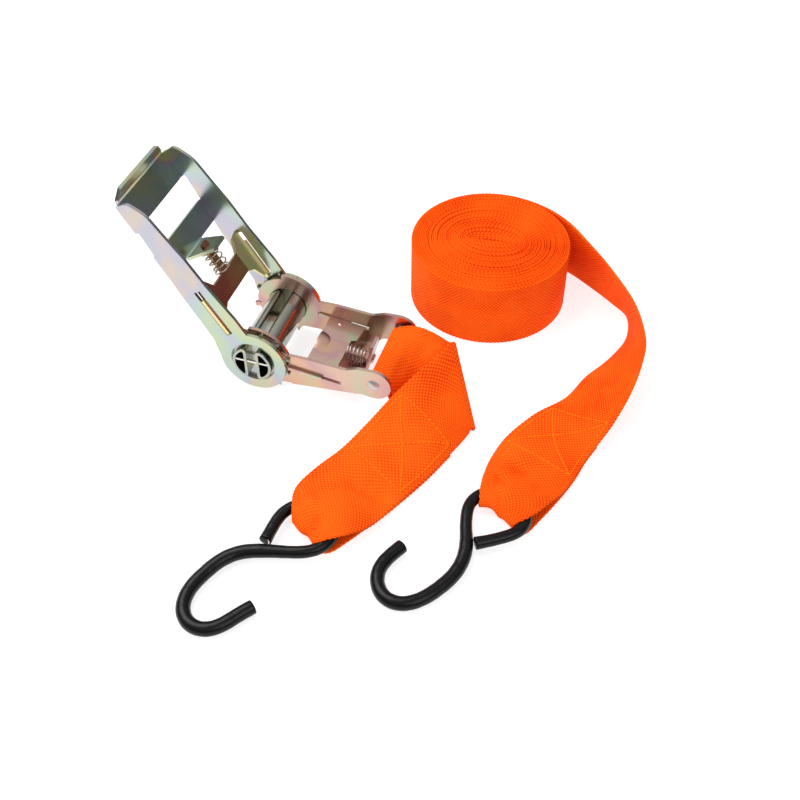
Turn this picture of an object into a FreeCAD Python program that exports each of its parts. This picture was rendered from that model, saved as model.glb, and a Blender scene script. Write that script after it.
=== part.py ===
"""Ratchet tie-down: the ratchet with its short hooked strap, and the long hooked strap rolled up."""
import FreeCAD, Part
import math
import os

V = FreeCAD.Vector

# ---- driving dimensions, in mm ----
SHEET = 1.8  # pressed steel of the base, handle and pawls
HUB_AT = (0.7, -1.3, 19.01)  # middle of the mandrel; the gears' teeth just touch the floor

BASE_INNER = 20.8  # half the gap between the base's side plates
BASE_TILT = 1.0  # degrees that the tail end lies lower than the hub
BASE_HOLE = 10.9  # radius of the base's mandrel holes
TAIL = (63.8, 0.3)  # tail pin from the hub centre, along and up
TAIL_PIN = 2.4  # radius of the tail pin
RIVET_HEAD = 3.4

GEAR_INNER = 22.8  # half the gap between the gears
GEAR_THICK = 1.35
GEAR_TIP = 19.4
GEAR_ROOT = 16.4
TEETH = 12
TOOTH_FACE = 11.2  # degrees of the first tooth's steep face, from +X up

HANDLE_INNER = 24.4  # half the gap between the handle's arms
HANDLE_ANGLE = 122.1  # degrees that the handle stands open, from +X up
HANDLE_HUB = 17.67
HANDLE_HOLE = 12.0

MANDREL = 10.5  # radius of the two D-shaped halves together
MANDREL_WALL = 1.4
MANDREL_GAP = 2.6  # half the webbing slot between the halves
MANDREL_CORNER = 1.7  # radius of each half's two rolled corners
MANDREL_END = 28.2  # half the mandrel's length

LOCK_TILT = 6.1  # degrees that the locking pawl's slots slope down to the tail
LOCK_RISE = 1.06  # height of the slots' centre line over the mandrel axis
DRIVE_DEPTH = 1.8  # driving pawl's middle, from the mandrel axis towards the web

WEB = 38.0  # webbing width
WEB_THICK = 1.2
COIL_CENTRE = (95.8, 84.85)
COIL = 42.9

HOOK_WIRE = 2.3  # radius of the steel
HOOK_COAT = 2.9  # radius over the vinyl
EYE_HEIGHT = 5.2
SLEEVE = 5.0  # radius of the bunched webbing round a hook's eye
SLEEVE_BORE = 3.2

Y_AXIS = V(0, 1, 0)
HUB = V(*HUB_AT)
parts = {}


# ---- helpers ----
def outline(points):
    """Closed wire in the XZ plane. A point's third number is the radius of its corner."""
    corners = []
    for i, point in enumerate(points):
        here = V(point[0], 0, point[1])
        if len(point) < 3:
            corners.append((here, None, here))
            continue
        before = points[i - 1]
        after = points[(i + 1) % len(points)]
        back = (V(before[0], 0, before[1]) - here).normalize()
        ahead = (V(after[0], 0, after[1]) - here).normalize()
        half = back.getAngle(ahead) / 2
        reach = point[2] / math.tan(half)
        middle = (back + ahead).normalize() * (point[2] / math.sin(half) - point[2])
        corners.append((here + back * reach, here + middle, here + ahead * reach))
    edges = []
    for i, (start, middle, end) in enumerate(corners):
        if middle:
            edges.append(Part.Arc(start, middle, end).toShape())
        following = corners[(i + 1) % len(corners)][0]
        if (following - end).Length > 1e-6:
            edges.append(Part.makeLine(end, following))
    return Part.Wire(edges)


def plate(points, y0, y1):
    """Flat plate: an XZ outline, filled from y0 to y1."""
    face = Part.Face(outline(points))
    face.translate(V(0, y0, 0))
    return face.extrude(V(0, y1 - y0, 0))


def flat(points, z0, z1):
    """Flat plate: an XY outline, filled from z0 to z1."""
    wire = Part.makePolygon([V(x, y, z0) for x, y in points + points[:1]])
    return Part.Face(wire).extrude(V(0, 0, z1 - z0))


def disc(radius, y0, y1, centre=(0, 0)):
    return Part.makeCylinder(radius, y1 - y0, V(centre[0], y0, centre[1]), Y_AXIS)


def pie(radius, start, end, y0, y1):
    """Sector of a disc between two angles, counted from +X up to +Z."""
    at = [math.radians(a) for a in (start, (start + end) / 2, end)]
    rim = [V(radius * math.cos(a), y0, radius * math.sin(a)) for a in at]
    centre = V(0, y0, 0)
    edges = [Part.makeLine(centre, rim[0]), Part.Arc(*rim).toShape(), Part.makeLine(rim[2], centre)]
    return Part.Face(Part.Wire(edges)).extrude(V(0, y1 - y0, 0))


def box(x0, x1, y0, y1, z0, z1):
    return Part.makeBox(x1 - x0, y1 - y0, z1 - z0, V(x0, y0, z0))


def fuse(*shapes):
    whole = shapes[0].multiFuse(list(shapes[1:]))
    return whole.removeSplitter()


def mirrored(shape):
    """The same shape on the other side of the XZ plane."""
    return shape.mirror(V(0, 0, 0), Y_AXIS)


def bend_cutter(start, end, half_width, radius):
    """What rounds a folded sheet's outer edge, which runs from start to end in XZ at y = half_width."""
    run = V(end[0] - start[0], 0, end[1] - start[1])
    length = run.Length
    block = box(-1, length + 1, -radius, 1, -radius, 1)
    rod = Part.makeCylinder(radius, length + 4, V(-2, -radius, -radius), V(1, 0, 0))
    inside = box(-2, length + 2, -radius - 1, -radius, -radius - 1, 2)
    inside = inside.fuse(box(-2, length + 2, -radius - 1, 2, -radius - 1, -radius))
    cutter = block.cut(rod).cut(inside)
    cutter.rotate(V(0, 0, 0), Y_AXIS, -math.degrees(math.atan2(run.z, run.x)))
    cutter.translate(V(start[0], half_width, start[1]))
    return cutter


def coil_spring(radius, wire, length, turns):
    """Compression spring along +X from the origin."""
    pitch = (length - wire) / turns
    helix = Part.makeHelix(pitch, length - wire, radius)
    ring = Part.Wire(Part.makeCircle(wire / 2, V(radius, 0, 0), Y_AXIS))
    spring = Part.Wire(helix).makePipeShell([ring], True, True)
    spring.translate(V(0, 0, wire / 2))
    spring.rotate(V(0, 0, 0), Y_AXIS, 90)
    return spring


def in_base(shape):
    shape.rotate(V(0, 0, 0), Y_AXIS, BASE_TILT)
    shape.translate(HUB)
    return shape


def in_lock(shape):
    """Place a shape drawn flat along the locking pawl's slots."""
    shape.rotate(V(0, 0, 0), Y_AXIS, LOCK_TILT)
    shape.translate(V(0, 0, LOCK_RISE))
    return shape


def in_handle(shape):
    """Place a shape drawn with the handle lying along +X, open side down."""
    shape.rotate(V(0, 0, 0), Y_AXIS, -HANDLE_ANGLE)
    shape.translate(HUB)
    return shape


# ---- base: two side plates folded up from one floor, with a tab for the pawl's spring ----
BASE_OUTER = BASE_INNER + SHEET
FLOOR = [(20.7, -14.1), (52.7, -10.2)]  # underside of the floor, hub end and tail end


def base_side():
    y0, y1 = BASE_INNER, BASE_OUTER
    hub = disc(15.5, y0, y1)
    cam = pie(19.4, 20, 98, y0, y1)
    shoulder = pie(17.2, 96, 186, y0, y1)
    spur = pie(19.6, 190, 198, y0, y1)
    heel = pie(17.0, 196, 228, y0, y1)
    arm = plate(
        [(9, 6.4), (28.7, 7.0), (48.2, 6.0, 6), (55.0, 8.8, 6), (63.0, 9.26), (63.0, -8.66),
         (58.0, -8.0), (54.6, -8.4, 2), (52.7, -10.2), (20.7, -14.1), (18.9, -12.2), (9, -12.6)],
        y0, y1,
    )
    tail = disc(9.0, y0, y1, TAIL)
    side = fuse(hub, cam, shoulder, spur, heel, arm, tail)
    side = side.cut(disc(BASE_HOLE, y0 - 1, y1 + 1))
    side = side.cut(disc(TAIL_PIN + 0.05, y0 - 1, y1 + 1, TAIL))
    slot = in_lock(box(17.6, 46.6, y0 - 1, y1 + 1, -1.05, 1.05))
    return side.cut(slot)


def base_floor():
    (x0, z0), (x1, z1) = FLOOR
    floor = plate(
        [(x0, z0), (x1, z1), (x1, z1 + SHEET), (x0, z0 + SHEET)], -BASE_OUTER, BASE_OUTER
    )
    window = box(x0 - 1, 33, -17.8, 17.8, -20, 0)
    tab = plate(
        [(50.0, -10.53), (54.3, -9.9, 2.4), (57.2, 6.8), (55.4, 6.9), (52.9, -8.0, 0.8), (50.0, -8.72)],
        -3.5, 5.5,
    )
    hole = in_lock(box(52, 60, -2.1, 4.1, -1.3, 1.3))
    return fuse(floor.cut(window), tab).cut(hole)


side = base_side()
frame = fuse(side, mirrored(side), base_floor())
lower = bend_cutter((20.6, 14.1), (52.7, 10.2), BASE_OUTER, 2.4)
lower = lower.mirror(V(0, 0, 0), V(0, 0, 1))
frame = frame.cut(lower).cut(mirrored(lower))
parts["base_frame"] = in_base(frame)

pin = disc(TAIL_PIN, -BASE_OUTER - 0.2, BASE_OUTER + 0.2, TAIL)
head = Part.makeSphere(4.7, V(TAIL[0], -BASE_OUTER + 3.25, TAIL[1]))
head = head.common(disc(RIVET_HEAD, -BASE_OUTER - 1.5, -BASE_OUTER, TAIL))
pin = fuse(pin, head, mirrored(head))
parts["tail_pin"] = in_base(pin)

# ---- handle: two arms folded from one web, with two windows, a thumb lip and a spring flap ----
HANDLE_OUTER = HANDLE_INNER + SHEET
WEB_END = 102.0


def web_inside(x):
    """Inner face of the web: it comes 3% nearer to the mandrel axis towards the thumb lip."""
    return 8.8 + 0.0306 * (WEB_END - x)


def handle_arm():
    y0, y1 = HANDLE_INNER, HANDLE_OUTER
    arm = plate(
        [(9.0, -7.6), (26.5, -7.7), (48.4, -5.9), (65.6, -5.6), (78.0, -4.4), (93.0, -3.2, 14),
         (102.4, 2.2, 5), (102.0, 7.0), (86.6, 7.6), (85.6, 7.2), (72.6, 8.4), (51.9, 10.6, 30),
         (27.3, 11.6), (18.2, 12.2), (16.0, 13.3, 8), (9.0, 15.2)],
        y0, y1,
    )
    hub = disc(HANDLE_HUB, y0, y1)
    arm = fuse(arm, hub)
    arm = arm.cut(disc(HANDLE_HOLE, y0 - 1, y1 + 2))
    slot = plate([(19.3, -1.0), (47.3, -1.0), (47.3, 2.9), (19.3, 2.9)], y0 - 1, y1 + 1)
    return arm.cut(slot)


def web_bar(x0, x1):
    """A bar of the web between two windows, folded down into both arms."""
    top = [web_inside(x) + SHEET for x in (x0, x1)]
    outer = plate([(x0, 4), (x1, 4), (x1, top[1]), (x0, top[0])], -HANDLE_OUTER, HANDLE_OUTER)
    inner = plate(
        [(x0 - 1, 0), (x1 + 1, 0), (x1 + 1, web_inside(x1 + 1)), (x0 - 1, web_inside(x0 - 1))],
        -HANDLE_INNER, HANDLE_INNER,
    )
    bar = outer.cut(inner)
    bend = bend_cutter((x0, top[0]), (x1, top[1]), HANDLE_OUTER, 3.0)
    return bar.cut(bend).cut(mirrored(bend))


def thumb_lip():
    curl = plate(
        [(101.0, 8.83), (103.0, 8.8, 3), (107.2, 5.4), (108.4, 6.7), (103.9, 10.5, 5), (101.0, 10.63)],
        -22.6, 22.6,
    )
    for side in (1, -1):
        corner = flat([(103.5, 23), (110, 23), (110, 17.0)], -5, 14)
        curl = curl.cut(corner if side > 0 else mirrored(corner))
    return curl


def spring_flap():
    flap = plate([(58.9, 9.6), (58.9, 11.0), (56.6, 11.2, 1.2), (55.6, -7.4), (57.4, -7.4), (58.0, 9.0)], -8.0, 9.0)
    corner = Part.makePolygon([V(50, 9.1, 8), V(50, 9.1, -8), V(50, 4.4, -8), V(50, 9.1, 8)])
    flap = flap.cut(Part.Face(corner).extrude(V(12, 0, 0)))
    other = Part.makePolygon([V(50, -8.1, 8), V(50, -8.1, -8), V(50, -6.6, -8), V(50, -8.1, 8)])
    flap = flap.cut(Part.Face(other).extrude(V(12, 0, 0)))
    return flap.cut(box(50, 62, -3.6, 2.4, DRIVE_DEPTH - 1.3, DRIVE_DEPTH + 1.3))


arm = handle_arm()
handle = fuse(arm, mirrored(arm), web_bar(86.6, WEB_END), web_bar(58.3, 71.7), thumb_lip(), spring_flap())
parts["handle"] = in_handle(handle)

# ---- mandrel: two rolled D-shaped shells, a gear on each end and a strip that holds them ----
STRIP = (9.9, 1.0, 26.5, 27.8)  # half length, thickness, and the span along the mandrel
STRIP_HEIGHT = 1.5


def d_section(radius, gap, corner, y0, y1):
    """Bar of D section: a disc beyond x = gap, with its two corners rounded."""
    bar = disc(radius, y0, y1).cut(box(-radius - 1, gap, y0 - 1, y1 + 1, -radius - 1, radius + 1))
    on_flat = [e for e in bar.Edges if e.BoundBox.YLength > 1 and abs(e.CenterOfMass.x - gap) < 0.01]
    return bar.makeFillet(corner, on_flat)


def mandrel_half():
    shell = d_section(MANDREL, MANDREL_GAP, MANDREL_CORNER, -MANDREL_END, MANDREL_END)
    hollow = d_section(
        MANDREL - MANDREL_WALL, MANDREL_GAP + MANDREL_WALL, MANDREL_CORNER / 2, -MANDREL_END - 1, MANDREL_END + 1
    )
    half = shell.cut(hollow)
    for side in (1, -1):
        length, thick, y0, y1 = STRIP
        hole = box(
            -length - 0.05, length + 0.05, y0 - 0.05, y1 + 0.05,
            STRIP_HEIGHT - thick / 2 - 0.05, STRIP_HEIGHT + thick / 2 + 0.05,
        )
        half = half.cut(hole if side > 0 else mirrored(hole))
    return half


def gear():
    """Ratchet gear: each tooth has a steep face and a hollow back."""
    rim = []
    step = 360 / TEETH
    for k in range(TEETH):
        start = TOOTH_FACE + k * step
        for turn, radius in ((0, GEAR_ROOT), (0.4, GEAR_TIP), (2.2, GEAR_TIP), (5.6, 18.1), (10.5, 17.0), (16, GEAR_ROOT)):
            a = math.radians(start + turn)
            rim.append((radius * math.cos(a), radius * math.sin(a)))
    blank = plate(rim, GEAR_INNER, GEAR_INNER + GEAR_THICK)
    hole = d_section(
        MANDREL + 0.05, MANDREL_GAP - 0.05, MANDREL_CORNER, GEAR_INNER - 1, GEAR_INNER + GEAR_THICK + 1
    )
    other = hole.mirror(V(0, 0, 0), V(1, 0, 0))
    return blank.cut(hole).cut(other)


half = mandrel_half()
opposite = half.mirror(V(0, 0, 0), V(1, 0, 0))
gear_rear = gear()
length, thick, y0, y1 = STRIP
strip = box(-length, length, y0, y1, STRIP_HEIGHT - thick / 2, STRIP_HEIGHT + thick / 2)
for name, shape in (
    ("mandrel_half_tail_side", half),
    ("mandrel_half_handle_side", opposite),
    ("ratchet_gear_rear", gear_rear),
    ("ratchet_gear_front", mirrored(gear_rear)),
    ("mandrel_retaining_strip_rear", strip),
    ("mandrel_retaining_strip_front", mirrored(strip)),
):
    shape.translate(HUB)
    parts[name] = shape

# ---- locking pawl: slides in the base's slots against a spring on its tail ----
HALF_SHEET = SHEET / 2
TAIL_Y = 1.0  # the pawl's tail and spring lie a little off centre


def locking_pawl():
    body = flat(
        [(24.8, -19.4), (24.8, 19.4), (18.25, 20.2), (18.25, 24.1), (36.6, 24.1), (36.6, 20.5),
         (45.0, 20.3), (43.6, 8.6), (41.2, 7.4), (41.2, 3.4), (56.6, 3.4), (56.6, -1.4), (41.2, -1.4),
         (41.2, -12.2), (44.6, -14.4), (45.0, -20.3), (36.6, -20.5), (36.6, -24.1), (18.25, -24.1),
         (18.25, -20.2)],
        -HALF_SHEET, HALF_SHEET,
    )
    bump = Part.makeSphere(14.0, V(24.8, 1.35, -11.4))
    bump = bump.common(box(24.8, 34, -8, 11, 0, 3))
    stakes = [Part.makeSphere(1.5, V(31.7, side * 16.4, HALF_SHEET - 0.6)) for side in (1, -1)]
    return fuse(body, bump, *stakes)


def tail_spring(radius, wire, start, end, turns, y, z):
    spring = coil_spring(radius, wire, end - start, turns)
    spring.translate(V(start, y, z))
    return spring


parts["locking_pawl"] = in_base(in_lock(locking_pawl()))
parts["locking_pawl_spring"] = in_base(in_lock(tail_spring(3.7, 0.8, 41.35, 51.9, 5, TAIL_Y, 0)))

# ---- driving pawl: slides in the handle's slots against its own spring ----
DRIVE_Y = -0.6


def driving_pawl():
    quarter = [(30.3, 13.0), (28.0, 17.4), (20.9, 20.9), (20.9, 22.75), (18.35, 22.75), (18.35, 24.1),
               (19.6, 24.1), (19.6, 26.1), (41.6, 26.1), (41.6, 24.1), (49.0, 24.1), (47.6, 17.5),
               (41.6, 13.5)]
    tail = [(41.6, DRIVE_Y + 2.4), (59.6, DRIVE_Y + 2.4), (59.6, DRIVE_Y - 2.4), (41.6, DRIVE_Y - 2.4)]
    front = [(x, -y) for x, y in reversed(quarter)]
    return flat(quarter + tail + front, DRIVE_DEPTH - HALF_SHEET, DRIVE_DEPTH + HALF_SHEET)


parts["driving_pawl"] = in_handle(driving_pawl())
parts["driving_pawl_spring"] = in_handle(
    tail_spring(4.4, 0.9, 41.75, 55.9, 5, DRIVE_Y, DRIVE_DEPTH)
)


# ---- webbing: ribbons through stations, each with its two edges and its thickness ----
def cross_sections(stations):
    """Four corners at each station: the strap's upper edge pair, then its lower pair."""
    middles = [(V(*a) + V(*b)) * 0.5 for a, b, thick in stations]
    sections = []
    for i, (a, b, thick) in enumerate(stations):
        ahead = middles[min(i + 1, len(stations) - 1)] - middles[max(i - 1, 0)]
        across = V(*b) - V(*a)
        up = ahead.cross(across).normalize() * (thick / 2)
        if up.z < 0:
            up = -up
        sections.append([V(*a) + up, V(*b) + up, V(*b) - up, V(*a) - up])
    return sections


def ribbon(stations):
    """Strap through stations (edge, other edge, thickness), in order along it."""
    sections = cross_sections(stations)
    return Part.makeLoft([Part.makePolygon(c + c[:1]) for c in sections], True, True)


def stitch_row(stations, at, start, end):
    """Row of thread on a strap's upper face, between two spots on the length after station `at`.

    A spot is (share of the way to the next station, share of the width)."""
    near, far = cross_sections(stations)[at : at + 2]
    steps = 4
    spots = []
    for i in range(steps + 1):
        along, across = [a + (b - a) * i / steps for a, b in zip(start, end)]
        edge = near[0] + (far[0] - near[0]) * along
        other = near[1] + (far[1] - near[1]) * along
        spots.append(edge + (other - edge) * across)
    run = (spots[-1] - spots[0]).normalize()
    face = (far[0] - near[0]).cross(near[1] - near[0]).normalize()
    if face.z < 0:
        face = -face
    half = run.cross(face).normalize() * 0.5
    rows = []
    for spot in spots:
        low, high = spot + face * 0.26, spot + face * 0.56
        rows.append(Part.makePolygon([high + half, high - half, low - half, low + half, high + half]))
    return Part.makeLoft(rows, True, True)


def eye_sleeve(centre, radius, start, end):
    """Webbing bunched round part of a hook's eye, between two angles from +X to +Y."""
    at = V(centre[0], centre[1], EYE_HEIGHT)
    sleeve = Part.makeTorus(radius, SLEEVE, at, V(0, 0, 1), 0, 360, end - start)
    sleeve.rotate(at, V(0, 0, 1), start)
    return sleeve


def eye_bore(centre, radius):
    return Part.makeTorus(radius, SLEEVE_BORE, V(centre[0], centre[1], EYE_HEIGHT), V(0, 0, 1))


SHORT_EYE = (60.0, -108.6)
LONG_EYE = (142.0, -73.9)
EYE_RADIUS = 14.0
SHORT_COVER = (-30, 142)  # angles of the eye inside the short strap's end
LONG_COVER = (-6, 156)

tail_line = in_base(Part.Vertex(TAIL[0], 0, TAIL[1])).Point
loop_start = tail_line - Y_AXIS * (WEB / 2)
loop = Part.makeCylinder(TAIL_PIN + 0.1 + WEB_THICK, WEB, loop_start, Y_AXIS)
bore = Part.makeCylinder(TAIL_PIN + 0.1, WEB + 2, loop_start - Y_AXIS, Y_AXIS)
over_pin = tail_line.z + TAIL_PIN + 0.1 + WEB_THICK / 2
LOWER_RUN = [
    ((64.5, -20.3, over_pin), (64.5, 17.7, over_pin), WEB_THICK),
    ((71.0, -20.4, 23.4), (70.0, 17.7, 24.6), WEB_THICK),
    ((82.0, -20.8, 18.5), (77.0, 17.6, 25.6), WEB_THICK),
    ((100.0, -21.8, 7.5), (86.0, 17.5, 23.4), WEB_THICK),
    ((117.0, -22.5, 1.0), (94.0, 17.5, 18.6), WEB_THICK),
]
fold_start, fold_end = V(117.0, -22.5, 1.9), V(94.0, 17.5, 19.5)
fold = Part.makeCylinder(1.45, (fold_end - fold_start).Length, fold_start, fold_end - fold_start)
UPPER_RUN = [
    ((117.0, -22.5, 2.8), (94.0, 17.5, 20.4), WEB_THICK),
    ((111.5, -40.0, 2.4), (77.5, -24.5, 18.4), WEB_THICK),
    ((104.0, -61.0, 2.2), (67.5, -45.0, 11.5), WEB_THICK),
    ((95.5, -80.0, 2.4), (59.5, -61.5, 7.0), 2.4),
    ((80.5, -106.0, 2.6), (47.0, -85.0, 5.0), 2.4),
    ((75.2, -106.5, 5.0), (52.0, -94.0, 5.6), 6.0),
    ((72.0, -103.5, 5.2), (56.5, -95.2, 5.2), 7.0),
]
pin_end = ribbon(LOWER_RUN).fuse(loop).cut(bore)
hook_end = ribbon(UPPER_RUN).fuse(eye_sleeve(SHORT_EYE, EYE_RADIUS, *SHORT_COVER))
hook_end = hook_end.cut(eye_bore(SHORT_EYE, EYE_RADIUS))
parts["short_strap"] = hook_end.fuse(fold).fuse(pin_end)

coil = Part.makeCylinder(COIL, WEB, V(COIL_CENTRE[0], COIL_CENTRE[1], 0))
core = Part.makeCylinder(1.5, WEB + 2, V(COIL_CENTRE[0], COIL_CENTRE[1], -1))
parts["long_strap_coil"] = coil.cut(core)
LEAD = [
    ((110.8, 126.0, 0.0), (110.8, 126.0, 38.0), WEB_THICK),
    ((123.0, 123.0, 0.0), (121.1, 126.3, 38.0), WEB_THICK),
    ((137.0, 116.2, 0.2), (133.8, 112.6, 38.0), WEB_THICK),
    ((150.0, 108.0, 0.3), (147.0, 99.7, 37.0), WEB_THICK),
    ((166.0, 96.5, 0.3), (162.9, 83.0, 35.0), WEB_THICK),
    ((175.8, 87.5, 0.3), (177.9, 65.5, 31.5), WEB_THICK),
    ((178.4, 76.0, 0.3), (185.1, 52.0, 29.5), WEB_THICK),
    ((177.8, 66.0, 0.4), (189.3, 40.5, 27.0), WEB_THICK),
    ((172.0, 50.0, 0.4), (190.0, 29.5, 21.0), WEB_THICK),
    ((163.0, 33.0, 0.5), (188.1, 11.5, 17.0), WEB_THICK),
    ((156.4, 14.8, 0.6), (183.2, -5.5, 10.0), WEB_THICK),
    ((143.0, -4.0, 0.8), (175.5, -25.0, 2.4), WEB_THICK),
    ((131.0, -38.0, 1.3), (166.4, -52.0, 2.0), 2.4),
    ((130.8, -52.0, 3.4), (161.0, -62.0, 3.6), 4.0),
    ((134.0, -60.0, 5.2), (154.4, -66.5, 5.2), 7.0),
]
lead = ribbon(LEAD).fuse(eye_sleeve(LONG_EYE, EYE_RADIUS, *LONG_COVER))
parts["long_strap_lead"] = lead.cut(eye_bore(LONG_EYE, EYE_RADIUS))


# ---- hooks: steel wire in black vinyl, with a round eye and an open hook ----
def hook_route(eye, start, end, before, after):
    """Centre line: the free leg, the eye's arc from start to end in degrees, then the open hook."""
    steps = 12
    turns = [math.radians(start + (end - start) * i / steps) for i in range(steps + 1)]
    arc = [(eye[0] + EYE_RADIUS * math.cos(a), eye[1] + EYE_RADIUS * math.sin(a), EYE_HEIGHT) for a in turns]
    return [V(*point) for point in before + arc + after]


def rod(route, radius):
    curve = Part.BSplineCurve()
    curve.interpolate(route)
    start = curve.value(curve.FirstParameter)
    heading = curve.tangent(curve.FirstParameter)[0]
    ring = Part.Wire(Part.makeCircle(radius, start, heading))
    sweep = Part.BRepOffsetAPI.MakePipeShell(Part.Wire(curve.toShape()))
    sweep.setBiNormalMode(V(0, 0, 1))
    sweep.add(ring)
    sweep.build()
    sweep.makeSolid()
    return sweep.shape()


short_route = hook_route(
    SHORT_EYE, 183, -74,
    before=[(45.6, -121.0, 5.2)],
    after=[(54.8, -124.4, 4.9), (46.2, -126.5, 4.4), (37.6, -129.5, 3.9), (31.4, -134.8, 3.5),
           (26.4, -144.5, 3.1), (23.4, -155.3, 2.9), (24.9, -164.8, 2.9), (30.6, -171.0, 2.9),
           (38.6, -171.8, 2.9), (44.6, -167.4, 2.9), (48.8, -160.9, 2.9), (53.6, -154.5, 2.9)],
)
long_route = hook_route(
    LONG_EYE, -27, 198,
    before=[(137.0, -93.2, 5.2), (143.0, -89.4, 5.2), (149.8, -84.6, 5.2)],
    after=[(130.0, -84.6, 5.0), (132.6, -92.4, 4.5), (134.0, -100.9, 4.0), (132.6, -110.6, 3.4),
           (127.8, -120.3, 2.9), (121.4, -129.0, 2.9), (114.8, -133.4, 2.9), (107.3, -133.0, 2.9),
           (101.2, -126.8, 2.9), (99.3, -118.4, 2.9), (101.6, -110.6, 2.9), (105.3, -103.5, 2.9)],
)
for name, route in (("short_hook", short_route), ("long_hook", long_route)):
    wire = rod(route, HOOK_WIRE)
    parts[name + "_wire"] = wire
    parts[name + "_coating"] = rod(route, HOOK_COAT).cut(wire)


# ---- stitching: a crossed box where each strap is doubled back, and a seam by the tail pin ----
def crossed_box(stations, at, along, across):
    corners = [(along[0], across[0]), (along[1], across[0]), (along[1], across[1]), (along[0], across[1])]
    pairs = [(0, 1), (1, 2), (2, 3), (3, 0), (0, 2), (1, 3)]
    rows = [stitch_row(stations, at, corners[a], corners[b]) for a, b in pairs]
    return rows[0].multiFuse(rows[1:])


thread_box = crossed_box(UPPER_RUN, 3, (0.05, 0.8), (0.1, 0.9))
parts["short_strap_hook_stitching"] = thread_box.cut(parts["short_strap"])
parts["long_strap_hook_stitching"] = crossed_box(LEAD, 11, (0.1, 0.9), (0.1, 0.9))
seams = [stitch_row(LOWER_RUN, 1, (along, 0.06), (along, 0.94)) for along in (0.3, 0.6)]
parts["short_strap_pin_stitching"] = Part.makeCompound(seams)

# ---- origin at the middle of the footprint, then write the parts ----
bounds = FreeCAD.BoundBox()
for shape in parts.values():
    bounds.add(shape.optimalBoundingBox(False, False))
shift = V(-(bounds.XMin + bounds.XMax) / 2, -(bounds.YMin + bounds.YMax) / 2, -bounds.ZMin)
print("moved by", shift, "size", bounds.XLength, bounds.YLength, bounds.ZLength)
os.makedirs("parts", exist_ok=True)
for name, shape in parts.items():
    shape.translate(shift)
    shape.exportStep("parts/" + name + ".step")
    print(name, round(shape.Volume, 1), shape.isValid(), len(shape.Solids))
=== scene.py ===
"""Ratchet tie-down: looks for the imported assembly, with the webbing, stitching and hooks modelled in full."""
import math

import bpy
import numpy as np
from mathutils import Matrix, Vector


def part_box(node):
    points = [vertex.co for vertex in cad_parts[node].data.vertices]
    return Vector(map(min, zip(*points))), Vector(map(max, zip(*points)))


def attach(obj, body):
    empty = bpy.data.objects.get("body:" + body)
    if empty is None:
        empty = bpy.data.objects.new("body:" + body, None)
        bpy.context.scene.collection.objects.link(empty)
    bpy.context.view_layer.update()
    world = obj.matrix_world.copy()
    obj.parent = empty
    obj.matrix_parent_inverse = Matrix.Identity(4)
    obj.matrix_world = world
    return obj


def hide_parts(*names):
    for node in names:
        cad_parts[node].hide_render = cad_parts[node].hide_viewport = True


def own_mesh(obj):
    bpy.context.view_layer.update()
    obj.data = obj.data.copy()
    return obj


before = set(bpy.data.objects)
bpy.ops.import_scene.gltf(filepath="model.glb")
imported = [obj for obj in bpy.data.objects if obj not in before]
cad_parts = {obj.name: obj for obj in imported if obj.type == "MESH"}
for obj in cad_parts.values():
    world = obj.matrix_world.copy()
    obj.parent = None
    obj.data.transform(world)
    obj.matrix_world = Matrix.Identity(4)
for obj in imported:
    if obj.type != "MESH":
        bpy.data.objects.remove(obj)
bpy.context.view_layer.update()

MM = 0.001

# ---- places: the drawing's millimetres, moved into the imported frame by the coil's centre ----
COIL_CENTRE = (95.8, 84.85)
coil_low, coil_high = (Vector(corner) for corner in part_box("long_strap_coil"))
SHIFT = Vector((
    (coil_low.x + coil_high.x) / 2 - COIL_CENTRE[0] * MM,
    (coil_low.y + coil_high.y) / 2 - COIL_CENTRE[1] * MM,
    coil_low.z,
))


def at(x, y, z):
    return Vector((x, y, z)) * MM + SHIFT


# ---- camera ----
CAMERA_AT = at(197.19, -389.49, 407.24)
LOOKS_AT = at(74.77, -12.47, 0.0)
LENS = 49.35
camera_data = bpy.data.cameras.new("camera")
camera_data.sensor_width = 36.0
camera_data.lens = LENS
camera_data.clip_start = 0.01
camera = bpy.data.objects.new("camera", camera_data)
camera.location = CAMERA_AT
camera.rotation_euler = (LOOKS_AT - CAMERA_AT).to_track_quat("-Z", "Y").to_euler()
bpy.context.collection.objects.link(camera)
bpy.context.scene.camera = camera


# ---- materials ----
def material(name):
    mat = bpy.data.materials.new(name)
    mat.use_nodes = True
    shader = mat.node_tree.nodes["Principled BSDF"]
    return mat, mat.node_tree.nodes, mat.node_tree.links, shader


def ramp(nodes, stops):
    node = nodes.new("ShaderNodeValToRGB")
    while len(node.color_ramp.elements) < len(stops):
        node.color_ramp.elements.new(0.5)
    for element, (place, colour) in zip(node.color_ramp.elements, stops):
        element.position = place
        element.color = (*colour, 1.0)
    return node


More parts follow.
